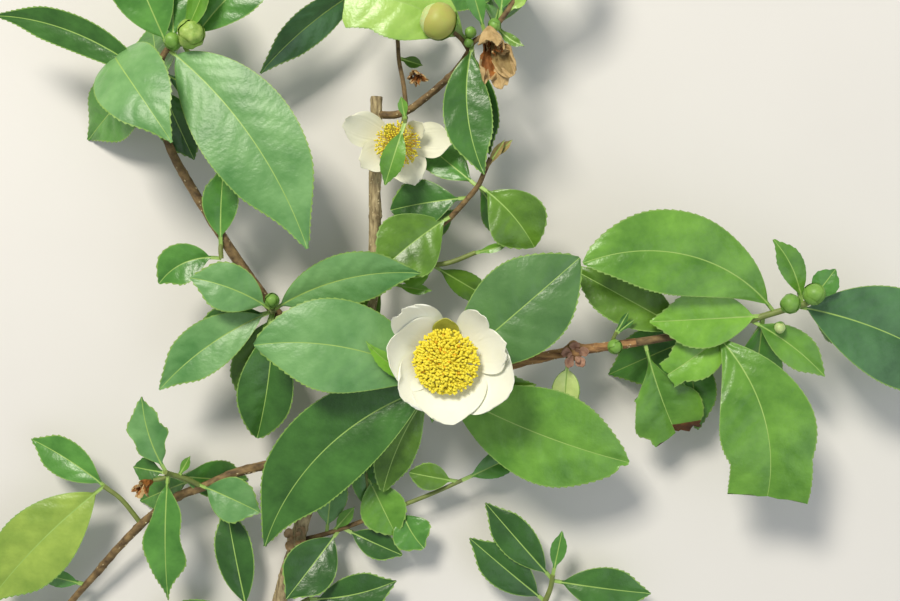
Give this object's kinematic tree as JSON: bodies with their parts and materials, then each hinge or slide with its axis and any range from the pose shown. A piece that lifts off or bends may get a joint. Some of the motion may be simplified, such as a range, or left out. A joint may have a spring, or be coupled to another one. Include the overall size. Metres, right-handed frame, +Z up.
{
  "type": "cut flowering tea branch",
  "caption": "Cut flowering branch of a tea bush, lying flat: a pruned woody stem with side branches, glossy toothed leaves, white blooms with yellow stamens, and green buds.",
  "frame": {"origin": "middle of the underside of the whole branch's box, on the surface that it lies on", "axes": "+X towards the tip of the right side branch, +Y towards the pruned top of the main stem, +Z up from the surface, towards the open faces of the blooms"},
  "size_m": [0.3604, 0.3026, 0.0577],
  "materials": {
    "bark": "rough grey-brown bark",
    "foliage": "glossy leathery leaf",
    "petal": "soft satin petal",
    "stamen": "powdery pollen",
    "bud": "smooth satin bud",
    "withered": "dry papery petal"
  },
  "bodies": {
    "root": {"main_stem": "bark", "right_branch": "bark", "upper_left_branch": "bark", "lower_left_branch": "bark", "upper_twig": "bark", "low_right_branch": "bark", "bloom_rosette": "foliage", "left_rosette": "foliage", "upper_left_shoot": "foliage", "upper_left_low_leaves": "foliage", "right_shoot": "foliage", "branch_bud": "foliage", "pale_leaf": "foliage", "top_shoot": "foliage", "back_twig": "foliage", "upper_bloom_stalk": "foliage", "middle_shoot": "foliage", "low_middle_shoot": "foliage", "lower_left_rosette": "foliage", "lower_left_tip": "foliage", "yellow_leaf_shoot": "foliage", "low_centre_shoot": "foliage", "stem_foot_leaves": "foliage", "low_right_shoot": "foliage", "centre_bloom_petals": "petal", "upper_bloom_petals": "petal", "centre_bloom_stamens": "stamen", "upper_bloom_stamens": "stamen", "round_bud": "bud", "withered_bloom_petals": "withered"}
  },
  "joints": []
}
